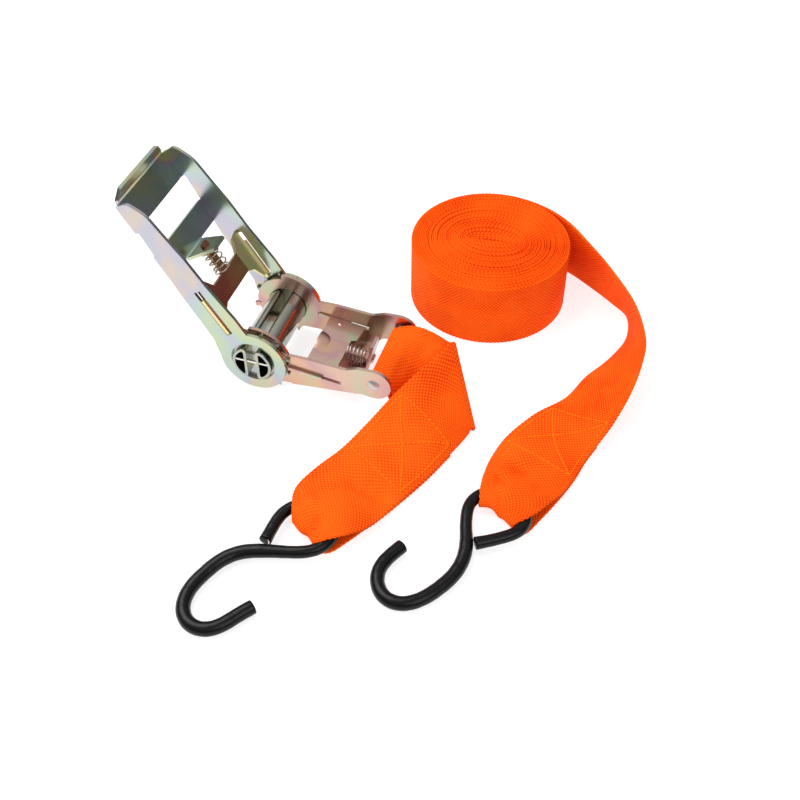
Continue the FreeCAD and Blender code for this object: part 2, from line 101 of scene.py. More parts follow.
def zinc_steel(name, stops, roughness, cloud, offset=(0.0, 0.0, 0.0)):
    """Yellow-passivated zinc: pale bands of colour drift over a satin metal."""
    mat, nodes, links, shader = material(name)
    coords = nodes.new("ShaderNodeTexCoord")
    mapping = nodes.new("ShaderNodeMapping")
    mapping.inputs["Location"].default_value = offset
    noise = nodes.new("ShaderNodeTexNoise")
    noise.inputs["Scale"].default_value = cloud
    noise.inputs["Detail"].default_value = 2.0
    noise.inputs["Distortion"].default_value = 0.8
    links.new(coords.outputs["Object"], mapping.inputs["Vector"])
    links.new(mapping.outputs["Vector"], noise.inputs["Vector"])
    tint = ramp(nodes, stops)
    links.new(noise.outputs["Fac"], tint.inputs["Fac"])
    links.new(tint.outputs["Color"], shader.inputs["Base Color"])
    shader.inputs["Metallic"].default_value = 1.0
    shader.inputs["Roughness"].default_value = roughness
    fine = nodes.new("ShaderNodeTexNoise")
    fine.inputs["Scale"].default_value = 900.0
    links.new(coords.outputs["Object"], fine.inputs["Vector"])
    bump = nodes.new("ShaderNodeBump")
    bump.inputs["Strength"].default_value = 0.06
    bump.inputs["Distance"].default_value = 0.0002
    links.new(fine.outputs["Fac"], bump.inputs["Height"])
    links.new(bump.outputs["Normal"], shader.inputs["Normal"])
    return mat


PALE = [(0.34, (0.56, 0.54, 0.33)), (0.42, (0.47, 0.55, 0.38)), (0.49, (0.43, 0.51, 0.50)),
        (0.55, (0.47, 0.45, 0.52)), (0.60, (0.58, 0.49, 0.38)), (0.68, (0.50, 0.56, 0.36))]
WARM = [(0.34, (0.54, 0.50, 0.30)), (0.42, (0.66, 0.40, 0.28)), (0.50, (0.56, 0.34, 0.34)),
        (0.58, (0.62, 0.42, 0.34)), (0.66, (0.46, 0.50, 0.34))]
GREY = [(0.35, (0.30, 0.29, 0.22)), (0.46, (0.44, 0.43, 0.36)),
        (0.56, (0.36, 0.40, 0.40)), (0.66, (0.50, 0.46, 0.30))]
BROWN = [(0.35, (0.22, 0.10, 0.06)), (0.5, (0.30, 0.12, 0.08)), (0.65, (0.34, 0.24, 0.10))]
# Lighter, yellower tints for the driving pawl's ears: painted light, standing in for the light they catch.
LIT_EARS = [(0.38, (0.70, 0.68, 0.24)), (0.5, (0.80, 0.62, 0.36)), (0.62, (0.62, 0.68, 0.30))]
handle_zinc = zinc_steel("handle zinc", PALE, 0.24, 16.0)
base_zinc = zinc_steel("base zinc", WARM, 0.26, 22.0, (0.3, 0.1, 0.2))
pawl_zinc = zinc_steel("pawl zinc", WARM, 0.30, 30.0, (0.1, 0.4, 0.1))
strip_zinc = zinc_steel("driving pawl zinc", BROWN, 0.32, 26.0)
mandrel_zinc = zinc_steel("mandrel zinc", GREY, 0.2, 20.0, (0.5, 0.2, 0.0))
bright_steel = zinc_steel("bright steel", [(0.3, (0.70, 0.66, 0.60)), (0.7, (0.78, 0.74, 0.68))], 0.2, 40.0)
rivet_steel = zinc_steel("rivet steel", [(0.3, (0.50, 0.49, 0.47)), (0.7, (0.60, 0.59, 0.57))], 0.38, 40.0)
spring_steel = zinc_steel("spring steel", [(0.3, (0.40, 0.34, 0.26)), (0.7, (0.52, 0.48, 0.44))], 0.28, 60.0)


def sum_of(nodes, links, kind, first, second):
    """One Math node fed by two sockets or numbers."""
    node = nodes.new("ShaderNodeMath")
    node.operation = kind
    for socket, value in zip(node.inputs, (first, second)):
        if isinstance(value, (int, float)):
            socket.default_value = value
        else:
            links.new(value, socket)
    return node.outputs["Value"]


def paint_ears_lit(mat, stops, middle, half):
    """Give a pawl lighter tints of its own, as painted light where it catches the light, wherever it is more
    than half away from middle, across the ratchet.
    """
    nodes, links = mat.node_tree.nodes, mat.node_tree.links
    shader = nodes["Principled BSDF"]
    inner = shader.inputs["Base Color"].links[0].from_socket
    noise = inner.node.inputs["Fac"].links[0].from_socket
    tint = ramp(nodes, stops)
    links.new(noise, tint.inputs["Fac"])
    coords = nodes.new("ShaderNodeTexCoord")
    split = nodes.new("ShaderNodeSeparateXYZ")
    links.new(coords.outputs["Object"], split.inputs["Vector"])
    off = sum_of(nodes, links, "SUBTRACT", split.outputs["Y"], middle)
    off = sum_of(nodes, links, "ABSOLUTE", off, 0.0)
    lit_ear = sum_of(nodes, links, "GREATER_THAN", off, half)
    mix = nodes.new("ShaderNodeMixRGB")
    links.new(lit_ear, mix.inputs["Fac"])
    links.new(inner, mix.inputs["Color1"])
    links.new(tint.outputs["Color"], mix.inputs["Color2"])
    links.new(mix.outputs["Color"], shader.inputs["Base Color"])


def woven(name, low, high, weave_shade_gain):
    """Plain-weave polyester: staggered bumps one PICK apart, fine yarn, and slow patches of tone; its colour is
    painted darker in the weave's hollows as shade and lighter on the bumps as highlight.

    The weave follows the strap's own UV map, in millimetres across and along it."""
    mat, nodes, links, shader = material(name)
    uv = nodes.new("ShaderNodeUVMap")
    uv.uv_map = "weave"
    parts = nodes.new("ShaderNodeSeparateXYZ")
    links.new(uv.outputs["UV"], parts.inputs["Vector"])
    coords = nodes.new("ShaderNodeTexCoord")
    drift = nodes.new("ShaderNodeTexNoise")
    drift.inputs["Scale"].default_value = 260.0
    drift.inputs["Detail"].default_value = 1.0
    links.new(coords.outputs["Object"], drift.inputs["Vector"])
    sway = sum_of(nodes, links, "MULTIPLY", drift.outputs["Fac"], 1.3)
    across = sum_of(nodes, links, "MULTIPLY", parts.outputs["X"], 2 * math.pi / PICK)
    along = sum_of(nodes, links, "MULTIPLY", parts.outputs["Y"], 2 * math.pi / PICK)
    across = sum_of(nodes, links, "COSINE", sum_of(nodes, links, "ADD", across, sway), 0.0)
    along = sum_of(nodes, links, "COSINE", sum_of(nodes, links, "ADD", along, sway), 0.0)
    bumps = sum_of(nodes, links, "MULTIPLY", across, along)
    bumps = sum_of(nodes, links, "MULTIPLY_ADD", bumps, 0.5)
    bumps.node.inputs[2].default_value = 0.5
    yarn = nodes.new("ShaderNodeTexNoise")
    yarn.inputs["Scale"].default_value = 2600.0
    yarn.inputs["Detail"].default_value = 2.0
    links.new(coords.outputs["Object"], yarn.inputs["Vector"])
    height = sum_of(nodes, links, "ADD", bumps, sum_of(nodes, links, "MULTIPLY", yarn.outputs["Fac"], 0.35))
    tone = nodes.new("ShaderNodeTexNoise")
    tone.inputs["Scale"].default_value = 45.0
    tone.inputs["Detail"].default_value = 3.0
    links.new(coords.outputs["Object"], tone.inputs["Vector"])
    shade_and_tone = sum_of(nodes, links, "ADD", sum_of(nodes, links, "MULTIPLY", height, weave_shade_gain),
                   sum_of(nodes, links, "MULTIPLY", tone.outputs["Fac"], 0.8))
    # Painted shade and highlight: the weave's hollows take the darker stop and its bumps the lighter one, mixed
    # with random tone.
    colour = ramp(nodes, [(0.36, low), (1.0, high)])
    links.new(shade_and_tone, colour.inputs["Fac"])
    links.new(colour.outputs["Color"], shader.inputs["Base Color"])
    bump = nodes.new("ShaderNodeBump")
    bump.inputs["Strength"].default_value = 0.8
    bump.inputs["Distance"].default_value = 0.00035
    links.new(height, bump.inputs["Height"])
    links.new(bump.outputs["Normal"], shader.inputs["Normal"])
    shader.inputs["Roughness"].default_value = 0.7
    shader.inputs["Specular IOR Level"].default_value = 0.03
    return mat


PICK = 2.1  # one pick of the weave along the strap, and one rib across it, mm
# The darker stop is painted shade in the weave's hollows, the lighter one a painted highlight on its bumps.
webbing = woven("orange webbing", (0.60, 0.010, 0.0), (0.97, 0.118, 0.006), 0.70)

thread, nodes, links, shader = material("orange thread")
twist = nodes.new("ShaderNodeTexNoise")
twist.inputs["Scale"].default_value = 3000.0
thread_tint = ramp(nodes, [(0.35, (0.95, 0.13, 0.002)), (0.65, (1.0, 0.22, 0.008))])
links.new(twist.outputs["Fac"], thread_tint.inputs["Fac"])
links.new(thread_tint.outputs["Color"], shader.inputs["Base Color"])
shader.inputs["Roughness"].default_value = 0.6
shader.inputs["Specular IOR Level"].default_value = 0.05

vinyl, nodes, links, shader = material("black vinyl")
grain = nodes.new("ShaderNodeTexNoise")
grain.inputs["Scale"].default_value = 350.0
grain.inputs["Detail"].default_value = 3.0
vinyl_tint = ramp(nodes, [(0.3, (0.002, 0.002, 0.002)), (0.7, (0.004, 0.0035, 0.004))])
links.new(grain.outputs["Fac"], vinyl_tint.inputs["Fac"])
links.new(vinyl_tint.outputs["Color"], shader.inputs["Base Color"])
ripple = nodes.new("ShaderNodeBump")
ripple.inputs["Strength"].default_value = 0.12
ripple.inputs["Distance"].default_value = 0.0003
links.new(grain.outputs["Fac"], ripple.inputs["Height"])
links.new(ripple.outputs["Normal"], shader.inputs["Normal"])
shader.inputs["Roughness"].default_value = 0.24
shader.inputs["Specular IOR Level"].default_value = 0.2

EARS_MIDDLE = -6.65  # the front end is tinted from its arm outwards, the rear ear from well inside it
EARS_HALF = 18.85
# Painted light: the driving pawl's ears take the lighter tints, as if lit, against the darker brown of the rest
# of the pawl.
paint_ears_lit(strip_zinc, LIT_EARS, at(0.0, EARS_MIDDLE, 0.0).y, EARS_HALF * MM)

LOOKS = {
    "base_frame": base_zinc, "tail_pin": rivet_steel, "handle": handle_zinc,
    "mandrel_half_tail_side": mandrel_zinc, "mandrel_half_handle_side": mandrel_zinc,
    "ratchet_gear_front": mandrel_zinc, "ratchet_gear_rear": mandrel_zinc,
    "mandrel_retaining_strip_front": bright_steel, "mandrel_retaining_strip_rear": bright_steel,
    "locking_pawl": pawl_zinc, "driving_pawl": strip_zinc,
    "short_hook_wire": bright_steel, "long_hook_wire": bright_steel,
}
for node, look in LOOKS.items():
    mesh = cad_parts[node].data
    mesh.materials.clear()
    mesh.materials.append(look)


# ---- webbing: dense ribbons through rows of five points, in the drawing's millimetres ----
WIDTH = 38.0
HALF = 0.6  # half the webbing's thickness
EDGE = 0.6  # how far in from each edge the webbing is rounded
FLOOR_GAP = 0.75  # a crease goes no lower than this
STEP = PICK / 4
FINE = [0.0, 0.15, 0.6, 1.6] + [3.2 + 31.6 * i / 14 for i in range(15)] + [36.4, 37.4, 37.85, 38.0]
COARSE = [0.0, 0.6, 37.4, 37.85, 38.0]  # inner turns of the roll, seen only from above


def spread(row):
    """Five points across a strap, from its two edges or as given."""
    row = np.array(row, float)
    if len(row) == 5:
        return row
    share = np.linspace(0.0, 1.0, 5)[:, None]
    return row[0] * (1 - share) + row[-1] * share


def smooth(points, knots, at_knots):
    """Values at at_knots on the smooth curve that passes through points at knots."""
    gap = np.diff(knots)[:, None]
    slope = np.diff(points, axis=0) / gap
    turn = np.empty_like(points)
    turn[0], turn[-1] = slope[0], slope[-1]
    turn[1:-1] = (slope[:-1] * gap[1:] + slope[1:] * gap[:-1]) / (gap[1:] + gap[:-1])
    i = np.clip(np.searchsorted(knots, at_knots, side="right") - 1, 0, len(knots) - 2)
    h = gap[i]
    t = (at_knots - knots[i])[:, None] / h
    return (
        (2 * t**3 - 3 * t**2 + 1) * points[i]
        + (t**3 - 2 * t**2 + t) * h * turn[i]
        + (3 * t**2 - 2 * t**3) * points[i + 1]
        + (t**3 - t**2) * h * turn[i + 1]
    )


def rows_along(rows):
    """A strap's rows at every STEP of its length, and that length."""
    rows = np.array([spread(row) for row in rows])
    gaps = np.linalg.norm(np.diff(rows, axis=0), axis=2).mean(axis=1)
    knots = np.concatenate([[0.0], np.cumsum(gaps)])
    places = np.linspace(0.0, knots[-1], int(round(knots[-1] / STEP)) + 1)
    return smooth(rows.reshape(len(rows), 15), knots, places).reshape(-1, 5, 3), places


def distance(grid, start, end):
    """Distance in plan from each point of a grid to a straight line between two spots."""
    start, run = np.array(start), np.array(end) - np.array(start)
    t = np.clip(((grid[:, :, :2] - start) @ run) / (run @ run), 0.0, 1.0)
    return np.linalg.norm(grid[:, :, :2] - start - t[:, :, None] * run, axis=2)


class Strap:
    """A strap's middle surface, for its own mesh and for the stitching that lies on it."""

    def __init__(self, rows, places, across=FINE, half=HALF, creases=()):
        self.places = places
        self.half = half
        self.across = np.array(across)
        flat = rows.transpose(1, 0, 2).reshape(5, -1)
        quarter = np.linspace(0.0, WIDTH, 5)
        grid = smooth(flat, quarter, self.across)
        self.grid = grid.reshape(len(across), -1, 3).transpose(1, 0, 2).copy()
        for start, end, breadth, depth in creases:
            height = self.grid[:, :, 2]
            lowered = height - depth * np.exp(-((distance(self.grid, start, end) / breadth) ** 2))
            self.grid[:, :, 2] = np.maximum(lowered, np.minimum(height, FLOOR_GAP))
        over = np.gradient(self.grid, axis=1)
        ahead = np.gradient(self.grid, axis=0)
        face = np.cross(over, ahead)
        self.face = face / np.linalg.norm(face, axis=2, keepdims=True)
        self.over = over / np.linalg.norm(over, axis=2, keepdims=True)

    def ring(self):
        """Rows of points round the strap's section, with their place across it."""
        near = np.minimum(np.minimum(self.across, WIDTH - self.across), EDGE) / EDGE
        half = self.half * np.sqrt(1 - (1 - near) ** 2)
        scallop = 0.2 * np.cos(2 * math.pi * self.places / PICK)
        side = np.where(self.across > WIDTH - 1.0, 1.0, 0.0)
        side = np.where(self.across < 1.0, -1.0, side) * (1 - near)
        grid = self.grid + self.over * (scallop[:, None] * side[None, :])[:, :, None]
        top = grid + self.face * half[None, :, None]
        under = grid - self.face * half[None, :, None]
        return np.concatenate([top, under[:, -2:0:-1]], axis=1)

    def spot(self, place, across, lift):
        """Point and face direction at a place along and across the strap, in millimetres."""
        i = np.interp(place, self.places, np.arange(len(self.places)))
        j = np.interp(across, self.across, np.arange(len(self.across)))
        i0, j0 = int(min(i, len(self.places) - 2)), int(min(j, len(self.across) - 2))
        fi, fj = i - i0, j - j0

        def mix(field):
            return (
                (field[i0, j0] * (1 - fj) + field[i0, j0 + 1] * fj) * (1 - fi)
                + (field[i0 + 1, j0] * (1 - fj) + field[i0 + 1, j0 + 1] * fj) * fi
            )

        face = mix(self.face)
        return mix(self.grid) + face * lift, face


def new_piece(name, points, faces, look, body, replaced=(), uvs=None):
    """A smooth mesh from drawing points, riding on a body and standing for CAD nodes."""
    mesh = bpy.data.meshes.new(name)
    mesh.from_pydata((np.asarray(points) * MM + np.array(SHIFT)).tolist(), [], faces)
    mesh.polygons.foreach_set("use_smooth", [True] * len(mesh.polygons))
    mesh.materials.append(look)
    if uvs is not None:
        layer = mesh.uv_layers.new(name="weave")
        corner = np.empty(len(mesh.loops), np.int32)
        mesh.loops.foreach_get("vertex_index", corner)
        layer.data.foreach_set("uv", np.asarray(uvs)[corner].astype(np.float32).ravel())
    piece = bpy.data.objects.new(name, mesh)
    bpy.context.collection.objects.link(piece)
    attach(piece, body)
    if replaced:
        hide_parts(*replaced)
    return piece


def ring_uvs(across, places):
    wrap = np.concatenate([across, np.array(across)[-2:0:-1]])
    return np.stack(np.meshgrid(wrap, places), axis=2).reshape(-1, 2)


def band_faces(first, rows, size):
    """Quads between rows of a closed section, whose points start at first."""
    i = np.arange(rows - 1)[:, None] * size + first
    j = np.arange(size)[None, :]
    k = (j + 1) % size
    quads = np.stack([i + j, i + size + j, i + size + k, i + k], axis=2)
    return quads.reshape(-1, 4).tolist()


def cap_faces(first, size, flip):
    """A strap's cut end, as a strip of faces between its two sides."""
    faces = [(first, first + 1, first + size - 1)]
    for j in range(1, size // 2 - 1):
        faces.append((first + j, first + j + 1, first + size - j - 1, first + size - j))
    j = size // 2 - 1
    faces.append((first + j, first + j + 1, first + j + 2))
    return [face[::-1] for face in faces] if flip else faces


STITCH_RISE = (-0.25, 0.12, 0.24, 0.12, -0.25)  # of a stitch over the cloth, end to end


def stitches(strap, lines, radius=0.38, pitch=2.4):
    """Thread lying on a strap: each stitch dips into the cloth at both of its ends."""
    points, faces = [], []
    for (place0, across0), (place1, across1), side in lines:
        length = math.hypot(place1 - place0, across1 - across0)
        count = max(2, int(round(length / pitch)))
        for n in range(count):
            spots = []
            for step in range(5):
                t = (n + 0.06 + 0.88 * step / 4) / count
                place = place0 + (place1 - place0) * t
                across = across0 + (across1 - across0) * t
                spots.append(strap.spot(place, across, side * (HALF + STITCH_RISE[step])))
            first = len(points)
            for step, (spot, face) in enumerate(spots):
                run = spots[min(step + 1, 4)][0] - spots[max(step - 1, 0)][0]
                run = run / np.linalg.norm(run)
                beside = np.cross(run, face)
                for k in range(6):
                    angle = k * math.pi / 3
                    outward = math.cos(angle) * beside + 0.8 * math.sin(angle) * face
                    points.append(spot + radius * outward)
            faces += band_faces(first, 5, 6)
            faces.append(tuple(range(first, first + 6)))
            faces.append(tuple(reversed(range(first + 24, first + 30))))
    return points, faces


def crossed_box(corners, side):
    """The four sides and two diagonals of a sewn box, on one face of the strap."""
    pairs = [(0, 1), (1, 2), (2, 3), (3, 0), (0, 2), (1, 3)]
    return [(corners[a], corners[b], side) for a, b in pairs]


# short strap: round the tail pin, out, folded back on itself, and looped through the hook's eye
PIN = (64.5, 18.2)
PIN_WRAP = 3.15
wrap_rows = []
for degrees in (-90, -130, -170, -210, -250):
    a = math.radians(degrees)
    x, z = PIN[0] + PIN_WRAP * math.cos(a), PIN[1] + PIN_WRAP * math.sin(a)
    wrap_rows.append(((x, -20.3, z), (x, 17.7, z)))
SHORT_ROWS = [
    ((75.0, -21.0, 3.0), (79.5, 17.5, 20.4)),
    ((72.0, -20.8, 7.0), (75.0, 17.6, 21.8)),
    ((69.8, -20.5, 12.6), (71.0, 17.7, 20.8)),
    ((67.2, -20.4, 15.8), (67.4, 17.7, 17.6)),
    *wrap_rows,
    ((66.0, -20.3, 21.6), (65.5, 17.7, 22.3)),
    ((70.2, -20.4, 19.4), (70.0, 17.7, 24.4)),
    ((73.2, -20.7, 12.0), (77.0, 17.6, 25.2)),
    ((77.5, -20.9, 5.6), (82.0, 17.6, 24.0)),
    ((93.0, -21.5, 2.4), (87.0, 17.5, 22.0)),
    ((112.5, -22.4, 1.9), (91.6, 17.4, 19.6)),
    ((116.2, -22.6, 0.9), (93.6, 17.5, 18.6)),
    ((117.6, -22.6, 2.0), (94.9, 17.7, 19.8)),
    ((116.4, -23.4, 3.0), (93.4, 16.4, 20.9)),
    ((115.6, -27.0, 3.0), (91.0, 9.0, 21.2)),
    ((111.5, -40.0, 2.5), (103.5, -35.5, 8.3), (94.5, -31.5, 13.6), (85.8, -28.0, 17.6), (77.5, -24.5, 19.3)),
    ((104.0, -61.0, 2.3), (95.6, -57.5, 6.2), (86.4, -53.5, 9.3), (76.8, -49.5, 11.5), (67.5, -45.0, 12.0)),
    ((95.5, -80.0, 2.5), (87.0, -75.8, 5.0), (77.6, -71.0, 7.0), (68.2, -66.2, 8.2), (59.5, -61.5, 7.8)),
    ((91.0, -93.0, 3.8), (82.4, -88.2, 6.2), (72.6, -83.2, 7.4), (62.4, -78.3, 7.6), (52.6, -73.3, 6.4)),
    ((86.6, -102.2, 6.0), (79.0, -97.0, 8.4), (69.6, -92.6, 9.2), (59.0, -88.8, 8.7), (48.0, -85.2, 6.0)),
    ((81.6, -108.0, 8.0), (76.0, -103.5, 9.6), (67.8, -99.8, 10.1), (57.8, -96.6, 9.7), (48.2, -93.4, 7.4)),
    ((76.3, -112.4, 8.9), (72.3, -109.0, 9.8), (66.2, -106.0, 9.6), (58.0, -103.0, 10.1), (50.2, -99.4, 8.9)),
    ((71.6, -115.6, 8.6), (69.2, -113.2, 8.8), (64.6, -110.2, 7.4), (58.6, -108.4, 8.9), (51.8, -103.6, 8.0)),
    ((68.0, -117.2, 5.4), (66.6, -115.4, 5.4), (63.4, -112.2, 5.0), (59.0, -111.2, 5.4), (53.0, -106.4, 5.2)),
    ((71.0, -117.6, 2.4), (68.2, -113.6, 2.2), (64.0, -110.4, 2.4), (58.6, -108.0, 2.2), (52.0, -103.8, 2.4)),
    ((74.6, -115.6, 1.1), (71.0, -109.5, 1.1), (65.8, -106.0, 1.1), (58.0, -102.6, 1.1), (50.4, -99.0, 1.2)),
    ((80.3, -107.5, 1.1), (75.2, -102.5, 1.1), (67.4, -98.5, 1.1), (58.0, -95.2, 1.1), (48.4, -92.0, 1.4)),
    ((84.4, -100.4, 1.1), (77.8, -96.0, 1.2), (68.8, -91.3, 1.6), (58.8, -87.3, 2.2), (48.2, -83.8, 3.2)),
    ((90.4, -90.5, 1.1), (82.4, -85.8, 2.4), (72.6, -80.9, 3.8), (63.0, -76.2, 4.8), (53.6, -71.6, 4.9)),
    ((95.3, -80.6, 1.0), (87.0, -76.0, 3.4), (77.6, -71.3, 5.4), (68.2, -66.6, 6.6), (59.4, -62.0, 6.3)),
    ((103.8, -61.6, 0.9), (95.4, -58.0, 4.7), (86.2, -54.0, 7.8), (76.7, -50.0, 10.0), (67.3, -45.6, 10.6)),
    ((110.7, -42.5, 1.0), (102.6, -38.2, 6.4), (93.6, -34.4, 11.6), (84.9, -31.0, 15.6), (76.6, -27.6, 17.4)),
]
SHORT_CREASES = [  # each from one spot to another, its breadth and its depth, or rise if negative
    ((73.0, -78.5), (86.0, -80.5), 4.5, 2.6),
    ((66.6, -112.0), (66.0, -104.0), 1.7, 2.2),
    ((52.0, -89.0), (58.0, -97.0), 3.0, -1.3),
]
rows, places = rows_along(SHORT_ROWS)
short = Strap(rows, places, creases=SHORT_CREASES)
ring = short.ring()
size = ring.shape[1]
faces = band_faces(0, len(ring), size)
faces += cap_faces(0, size, False) + cap_faces((len(ring) - 1) * size, size, True)
short_strap = new_piece(
    "short_strap_webbing", ring.reshape(-1, 3), faces, webbing, "base",
    ["short_strap"], ring_uvs(FINE, places),
)

# long strap: wound clockwise into a roll on its edge, then led out, dropped flat and looped
ROLL_RADIUS = 43.5
TURNS = 34.7
PITCH = 1.232
CORE = 8.6  # half the length of the flat fold that the roll starts from
CORE_ANGLE = math.radians(4.0)
ROLL_HALF = 0.5  # wound tight, so the cloth is a little thinner
ROLL_END = math.radians(72.0)
LEAD_ROWS = [
    ((137.0, 116.2, 0.4), (133.8, 112.6, 38.0)),
    ((150.0, 108.0, 0.5), (147.0, 99.7, 37.0)),
    ((166.0, 96.5, 0.5), (162.9, 83.0, 35.0)),
    ((175.8, 87.5, 0.5), (177.9, 65.5, 31.5)),
    ((178.4, 76.0, 0.5), (185.1, 52.0, 29.5)),
    ((177.8, 66.0, 0.6), (189.3, 40.5, 27.0)),
    ((172.0, 50.0, 0.7), (190.0, 29.5, 21.0)),
    ((163.0, 33.0, 0.8), (188.1, 11.5, 17.0)),
    ((156.4, 14.8, 1.2), (183.2, -5.5, 10.0)),
    ((143.0, -4.0, 2.3), (175.5, -25.0, 3.8)),
    ((133.6, -24.0, 2.8), (142.5, -28.2, 4.8), (152.6, -32.2, 5.4), (163.0, -36.2, 4.8), (172.2, -38.8, 3.2)),
    ((130.2, -42.0, 4.4), (139.0, -46.0, 6.4), (149.0, -49.5, 7.2), (159.5, -52.4, 6.4), (168.4, -51.2, 4.2)),
    ((130.2, -52.0, 7.4), (137.5, -55.5, 8.2), (147.0, -58.5, 9.6), (157.0, -61.0, 9.0), (164.6, -60.0, 6.6)),
    ((130.6, -60.0, 8.9), (137.2, -61.8, 8.4), (145.0, -65.3, 9.9), (153.5, -68.5, 9.8), (160.2, -69.3, 8.2)),
    ((131.4, -66.0, 8.9), (137.0, -66.2, 8.2), (143.8, -69.4, 8.0), (150.3, -73.4, 9.2), (156.3, -75.0, 8.8)),
    ((132.9, -71.6, 5.5), (137.8, -70.4, 5.3), (143.0, -72.7, 5.0), (147.2, -76.2, 5.3), (151.4, -78.6, 5.4)),
    ((131.8, -68.0, 2.4), (137.2, -67.8, 2.2), (143.4, -70.3, 2.2), (149.3, -74.6, 2.2), (154.5, -79.6, 2.2)),
    ((130.8, -63.0, 1.1), (136.8, -63.6, 1.1), (144.2, -66.3, 1.1), (152.0, -70.4, 1.1), (157.2, -77.4, 1.1)),
    ((130.0, -55.0, 1.1), (137.4, -57.4, 1.1), (146.4, -60.5, 1.1), (155.4, -64.0, 1.1), (162.0, -67.0, 1.1)),
    ((129.8, -42.5, 1.1), (138.4, -46.2, 2.2), (148.4, -49.6, 2.8), (158.6, -52.6, 2.4), (167.6, -53.0, 1.2)),
    ((133.4, -24.6, 1.1), (142.3, -28.8, 2.8), (152.4, -32.8, 3.4), (162.8, -36.8, 2.8), (172.0, -39.4, 1.4)),
    ((142.8, -4.6, 0.9), (175.3, -25.6, 2.4)),
    ((149.3, 3.4, 0.7), (178.4, -17.8, 4.7)),
]
LONG_CREASES = [
    ((145.0, -43.5), (146.0, -44.5), 3.2, 2.4),
    ((138.2, -53.8), (138.6, -56.5), 2.4, 2.6),
    ((143.3, -75.0), (141.9, -65.0), 1.7, 2.2),
]
angles = [ROLL_END + 2 * math.pi * TURNS]
while angles[-1] > ROLL_END:
    left = (angles[-1] - ROLL_END) / (2 * math.pi)
    radius = ROLL_RADIUS - PITCH * left
    reach = radius + CORE * (1 - radius / ROLL_RADIUS) * abs(math.sin(angles[-1] - CORE_ANGLE))
    angles.append(angles[-1] - STEP / max(reach, 2.0))
angles = np.array(angles[:-1])
left = (angles - ROLL_END) / (2 * math.pi)
radius = ROLL_RADIUS - PITCH * left
unevenness = np.random.default_rng(11)
knots = np.arange(0.0, TURNS + 2.0, 0.27)
tops = smooth(unevenness.uniform(0.0, 1.0, (len(knots), 1)), knots, left)[:, 0]
tops = 0.9 * np.clip(tops, 0.0, 1.0)
slack = smooth(unevenness.uniform(-1.0, 1.0, (len(knots), 1)), knots, left)[:, 0]
slack = 0.16 * np.clip(slack, -1.0, 1.0)
slack = slack * np.clip(left - 1.2, 0.0, 1.0) * np.clip(radius - 1.5, 0.0, 1.0)  # none at either end
swing = angles - CORE_ANGLE
along_core = (radius + slack + CORE * (1 - radius / ROLL_RADIUS)) * np.cos(swing)
beside_core = (radius + slack) * np.sin(swing)
x = COIL_CENTRE[0] + along_core * math.cos(CORE_ANGLE) - beside_core * math.sin(CORE_ANGLE)
y = COIL_CENTRE[1] + along_core * math.sin(CORE_ANGLE) + beside_core * math.cos(CORE_ANGLE)
low = np.stack([x, y, 0.25 + 0.5 * tops], axis=1)
high = np.stack([x, y, 37.3 + tops], axis=1)
share = np.linspace(0.0, 1.0, 5)[None, :, None]
roll_rows = low[:, None] * (1 - share) + high[:, None] * share
split = int(np.searchsorted(-left, -1.02))  # the last turn is modelled as finely as the lead
JOIN = 12  # rows between the roll's last three stations, from which the lead carries on
lead_from = roll_rows[-3 * JOIN::JOIN]
tail, tail_places = rows_along([*lead_from, *LEAD_ROWS])
outer = np.concatenate([roll_rows[split:-3 * JOIN], tail])
middle = np.concatenate([roll_rows[:split], outer]).mean(axis=1)
step = np.linalg.norm(np.diff(middle, axis=0), axis=1)
long_places = np.concatenate([[0.0], np.cumsum(step)])
roll = Strap(roll_rows[: split + 1], long_places[: split + 1], COARSE, ROLL_HALF)
lead = Strap(outer, long_places[split:], creases=LONG_CREASES)
roll_ring, lead_ring = roll.ring()[:-1], lead.ring()
small, size = roll_ring.shape[1], lead_ring.shape[1]
first = len(roll_ring) * small
faces = band_faces(0, len(roll_ring), small) + cap_faces(0, small, False)
faces += band_faces(first, len(lead_ring), size)
faces += cap_faces(first + (len(lead_ring) - 1) * size, size, True)
# one row of faces joins the roll's coarse section to the lead's fine one
match = [FINE.index(u) for u in COARSE]
match += [(size - FINE.index(u)) % size for u in COARSE[-2:0:-1]]
for j in range(small):
    k = (j + 1) % small
    start, end = match[j], match[k] if match[k] > match[j] else match[k] + size
    row = [first + n % size for n in range(start, end + 1)]
    faces.append([first - small + k, first - small + j] + row)
long_strap = new_piece(
    "long_strap_webbing", np.concatenate([roll_ring.reshape(-1, 3), lead_ring.reshape(-1, 3)]),
    faces, webbing, "long_strap", ["long_strap_coil", "long_strap_lead"],
    np.concatenate([ring_uvs(COARSE, roll.places[:-1]), ring_uvs(FINE, lead.places)]),
)


# ---- stitching: raised thread in a crossed box where each strap is doubled back ----
def nearest_place(strap, x, y, after=0.0):
    """Place along a strap whose middle passes closest to a spot, before the loop round the hook."""
    middle = strap.grid[:, len(strap.across) // 2, :2]
    off = np.hypot(middle[:, 0] - x, middle[:, 1] - y)
    off[strap.places - strap.places[0] < after] = np.inf
    off[int(np.argmin(middle[:, 1])):] = np.inf
    return float(strap.places[int(np.argmin(off))])


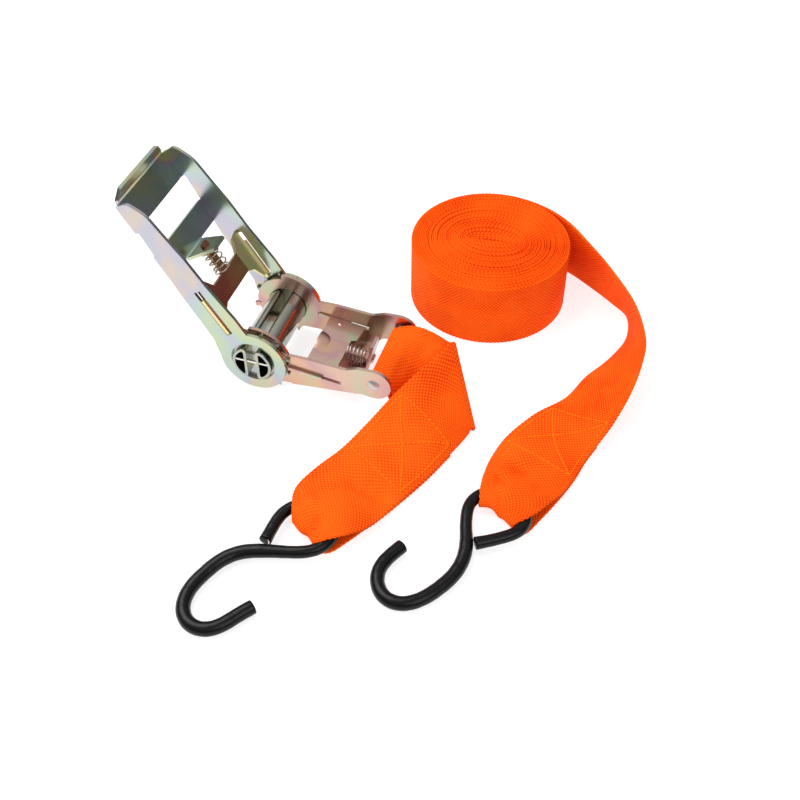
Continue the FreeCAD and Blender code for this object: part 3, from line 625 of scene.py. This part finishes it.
short_top = nearest_place(short, 91.6, -31.0, 60.0)
short_low = nearest_place(short, 80.5, -67.0, 60.0)
corners = [(short_top, 3.4), (short_top, 34.6), (short_low, 34.6), (short_low, 3.4)]
lines = crossed_box(corners, 1.0)
points, faces = stitches(short, lines)
short_stitching = new_piece(
    "short_strap_box_stitching", points, faces, thread, "base", ["short_strap_hook_stitching"]
)
seam = nearest_place(short, 78.0, -1.3, 30.0)
lines = [((seam, 2.0), (seam, 36.0), 1.0), ((seam + 4.0, 36.0), (seam + 4.0, 2.0), 1.0)]
points, faces = stitches(short, lines)
pin_stitching = new_piece(
    "short_strap_pin_seam", points, faces, thread, "base", ["short_strap_pin_stitching"]
)
long_top = nearest_place(lead, 166.0, -2.5)
long_low = nearest_place(lead, 152.4, -34.0)
corners = [(long_top + 3.0, 3.0), (long_top - 8.0, 35.0), (long_low, 35.0), (long_low, 3.0)]
lines = crossed_box(corners, -1.0)
points, faces = stitches(lead, lines)
long_stitching = new_piece(
    "long_strap_box_stitching", points, faces, thread, "long_strap", ["long_strap_hook_stitching"]
)


# ---- hooks: round rod in dipped vinyl, with softened ends ----
EYE_RADIUS = 14.0
EYE_HEIGHT = 5.2
COAT = 2.9  # radius of the vinyl inside the strap's loop
THICKER = 0.14  # share by which it is thicker along the rest of the hook
SHORT_EYE = (60.0, -108.6)
LONG_EYE = (142.0, -73.9)
ROUND_END = [(0.35, 0.0), (0.34, 0.55), (0.26, 0.84), (0.1, 0.97)]  # distance out, share of the radius
ROD_SIDES = 28


def hook_route(eye, start, end, before, after):
    """A hook's middle line: its cut end, its eye from start to end in degrees, and its hook."""
    turns = [math.radians(start + (end - start) * i / 12) for i in range(13)]
    arc = []
    for a in turns:
        arc.append((eye[0] + EYE_RADIUS * math.cos(a), eye[1] + EYE_RADIUS * math.sin(a), EYE_HEIGHT))
    return np.array(before + arc + after, float)


def rings_round(line, radius, beside, above, sides):
    """Rings of points about a line, in the planes of two directions given along it."""
    around = np.arange(sides) * 2 * math.pi / sides
    return line[:, None] + radius * (
        np.cos(around)[None, :, None] * beside[:, None] + np.sin(around)[None, :, None] * above[:, None]
    )


def dipped_rod(name, route, eye, body, node):
    """Vinyl over a bent rod: thinner inside the strap's loop than along the rest of the hook."""
    knots = np.concatenate([[0.0], np.cumsum(np.linalg.norm(np.diff(route, axis=0), axis=1))])
    places = np.linspace(0.0, knots[-1], int(knots[-1] / 0.9))
    line = smooth(route, knots, places)
    for _ in range(25):
        line[1:-1] += 0.25 * (line[2:] - 2 * line[1:-1] + line[:-2])
    start, end = line[1] - line[0], line[-1] - line[-2]
    start, end = start / np.linalg.norm(start), end / np.linalg.norm(end)
    tip = [line[0] - start * out for out, _ in ROUND_END]
    tail = [line[-1] + end * out for out, _ in ROUND_END[::-1]]
    line = np.concatenate([tip, line, tail])
    from_eye = np.hypot(line[:, 0] - eye[0], line[:, 1] - eye[1])
    clear = np.clip((from_eye - 16.0) / 8.0, 0.0, 1.0)
    line[:, 2] += THICKER * COAT * clear
    shares = [share for _, share in ROUND_END]
    widths = np.concatenate([shares, np.ones(len(places)), shares[::-1]])
    widths *= 1 + THICKER * clear
    heading = np.gradient(line, axis=0)
    heading[:4], heading[-4:] = start, end
    heading /= np.linalg.norm(heading, axis=1, keepdims=True)
    beside = np.cross(heading, (0.0, 0.0, 1.0))
    beside /= np.linalg.norm(beside, axis=1, keepdims=True)
    above = np.cross(beside, heading)
    wobble = 1 + 0.012 * np.sin(np.arange(len(line)) * 0.9) * np.cos(np.arange(len(line)) * 0.23)
    radius = (COAT * widths * wobble)[:, None, None]
    rings = rings_round(line, radius, beside, above, ROD_SIDES)
    points = np.concatenate([rings[1:-1].reshape(-1, 3), line[:1], line[-1:]])
    rows = len(line) - 2
    faces = band_faces(0, rows, ROD_SIDES)
    last = (rows - 1) * ROD_SIDES
    tip, tail = rows * ROD_SIDES, rows * ROD_SIDES + 1
    for k in range(ROD_SIDES):
        n = (k + 1) % ROD_SIDES
        faces.append((tip, k, n))
        faces.append((tail, last + n, last + k))
    return new_piece(name, points, faces, vinyl, body, [node])


SHORT_HOOK = hook_route(
    SHORT_EYE, 183, -74,
    before=[(45.6, -121.0, 5.2)],
    after=[(54.8, -124.4, 4.9), (46.2, -126.5, 4.4), (37.6, -129.5, 3.9), (31.4, -134.8, 3.5),
           (26.4, -144.5, 3.1), (23.4, -155.3, 2.95), (24.9, -164.8, 2.95), (30.6, -171.0, 2.95),
           (38.6, -171.8, 2.95), (44.6, -167.4, 2.95), (48.8, -160.9, 2.95), (53.6, -154.5, 2.95)],
)
LONG_HOOK = hook_route(
    LONG_EYE, -27, 198,
    before=[(137.0, -93.2, 5.2), (143.0, -89.4, 5.2), (149.8, -84.6, 5.2)],
    after=[(130.0, -84.6, 5.0), (132.6, -92.4, 4.5), (134.0, -100.9, 4.0), (132.6, -110.6, 3.4),
           (127.8, -120.3, 2.95), (121.4, -129.0, 2.95), (114.8, -133.4, 2.95), (107.3, -133.0, 2.95),
           (101.2, -126.8, 2.95), (99.3, -118.4, 2.95), (101.6, -110.6, 2.95), (105.3, -103.5, 2.95)],
)
dipped_rod("short_hook_vinyl", SHORT_HOOK, SHORT_EYE, "short_hook", "short_hook_coating")
dipped_rod("long_hook_vinyl", LONG_HOOK, LONG_EYE, "long_hook", "long_hook_coating")

# ---- springs: round wire between a pawl and its stop, with closed end turns ----
HUB = np.array((0.7, -1.3, 19.01))
BASE_TILT, LOCK_TILT, HANDLE_ANGLE = 1.0, 6.1, 122.1
LOCK_RISE = 1.06
CLOSED = 0.9  # of a turn at each end
WIRE_SIDES = 10


def turned(x, y, z, degrees):
    """A point turned about the ratchet's own axis."""
    c, s = math.cos(math.radians(degrees)), math.sin(math.radians(degrees))
    return np.array((x * c + z * s, y, z * c - x * s))


def in_base(x, y, z):
    """A point along the locking pawl, as the base holds it."""
    x, y, z = turned(x, y, z, LOCK_TILT)
    return turned(x, y, z + LOCK_RISE, BASE_TILT) + HUB


def in_handle(x, y, z):
    """A point along the driving pawl, as the open handle holds it."""
    return turned(x, y, z, -HANDLE_ANGLE) + HUB


def coil_spring(name, place, start, end, radius, wire, turns, body):
    """A helix from start to its stop at end, with its first and last turns closed."""
    length = end[0] - start[0] - wire
    dead = CLOSED * 1.1 * wire / length
    t = np.linspace(0.0, 1.0, int(turns * 26))
    along = np.interp(t, [0.0, CLOSED / turns, 1 - CLOSED / turns, 1.0], [0.0, dead, 1 - dead, 1.0])
    along = along * length
    angle = 2 * math.pi * turns * t
    outward = np.stack([0 * t, np.cos(angle), np.sin(angle)], axis=1)
    middle = np.stack([start[0] + wire / 2 + along, 0 * t + start[1], 0 * t + start[2]], axis=1)
    line = outward * radius + middle
    ahead = np.gradient(line, axis=0)
    ahead /= np.linalg.norm(ahead, axis=1, keepdims=True)
    beside = np.cross(ahead, outward)
    rings = rings_round(line, wire / 2, outward, beside, WIRE_SIDES)
    points = [place(*p) for p in rings.reshape(-1, 3)]
    last = (len(t) - 1) * WIRE_SIDES
    faces = band_faces(0, len(t), WIRE_SIDES)
    faces.append(tuple(range(WIRE_SIDES)))
    faces.append(tuple(reversed(range(last, last + WIRE_SIDES))))
    piece = new_piece(name + "_coil", points, faces, spring_steel, body, [name])
    axis = place(*end) - place(*start)
    tuple(at(*place(*end)))
    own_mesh(piece)


coil_spring("locking_pawl_spring", in_base, (41.35, 1.0, 0.0), (51.9, 1.0, 0.0), 3.7, 0.8, 5.8,
            "base")
coil_spring("driving_pawl_spring", in_handle, (41.75, -0.6, 1.8), (55.9, -0.6, 1.8), 4.4, 0.9, 5.2,
            "handle")

# ---- studio ----
floor_mesh = bpy.data.meshes.new("floor")
floor_mesh.from_pydata([(-3, -3, 0), (3, -3, 0), (3, 3, 0), (-3, 3, 0)], [], [(0, 1, 2, 3)])
floor = bpy.data.objects.new("floor", floor_mesh)
floor.location.z = -0.0001
bpy.context.collection.objects.link(floor)
floor_mat, _, _, shader = material("floor")
shader.inputs["Base Color"].default_value = (0.4, 0.4, 0.4, 1.0)
shader.inputs["Roughness"].default_value = 0.9
shader.inputs["Emission Color"].default_value = (1.0, 1.0, 1.0, 1.0)
shader.inputs["Emission Strength"].default_value = 0.74
floor_mesh.materials.append(floor_mat)

world = bpy.data.worlds.new("studio")
world.use_nodes = True
nodes, links = world.node_tree.nodes, world.node_tree.links
direction = nodes.new("ShaderNodeTexCoord")
height = nodes.new("ShaderNodeSeparateXYZ")
links.new(direction.outputs["Generated"], height.inputs["Vector"])
sky = ramp(nodes, [(0.0, (0.05, 0.05, 0.05)), (0.16, (0.10, 0.10, 0.10)), (0.40, (0.50, 0.51, 0.52)),
                   (0.62, (0.95, 0.96, 0.98)), (1.0, (1.0, 1.0, 1.0))])
links.new(height.outputs["Z"], sky.inputs["Fac"])
links.new(sky.outputs["Color"], nodes["Background"].inputs["Color"])
nodes["Background"].inputs["Strength"].default_value = 0.73
bpy.context.scene.world = world
bpy.context.scene.view_settings.view_transform = "Standard"


def softbox(name, place, aim, size, power, shines=True):
    data = bpy.data.lights.new(name, "AREA")
    data.shape = "RECTANGLE"
    data.size, data.size_y = size
    data.energy = power
    light = bpy.data.objects.new(name, data)
    light.location = place
    light.rotation_euler = (Vector(aim) - Vector(place)).to_track_quat("-Z", "Y").to_euler()
    light.visible_glossy = shines
    bpy.context.collection.objects.link(light)


softbox("key", (-0.5, 0.1, 0.9), (0, 0, 0), (0.8, 0.8), 9.0)
softbox("fill", (0.8, -0.5, 0.7), (0, 0, 0), (0.6, 0.6), 3.0)
softbox("front", (-0.8, -1.0, 0.45), (0, 0, 0.02), (0.6, 0.5), 7.0, shines=False)
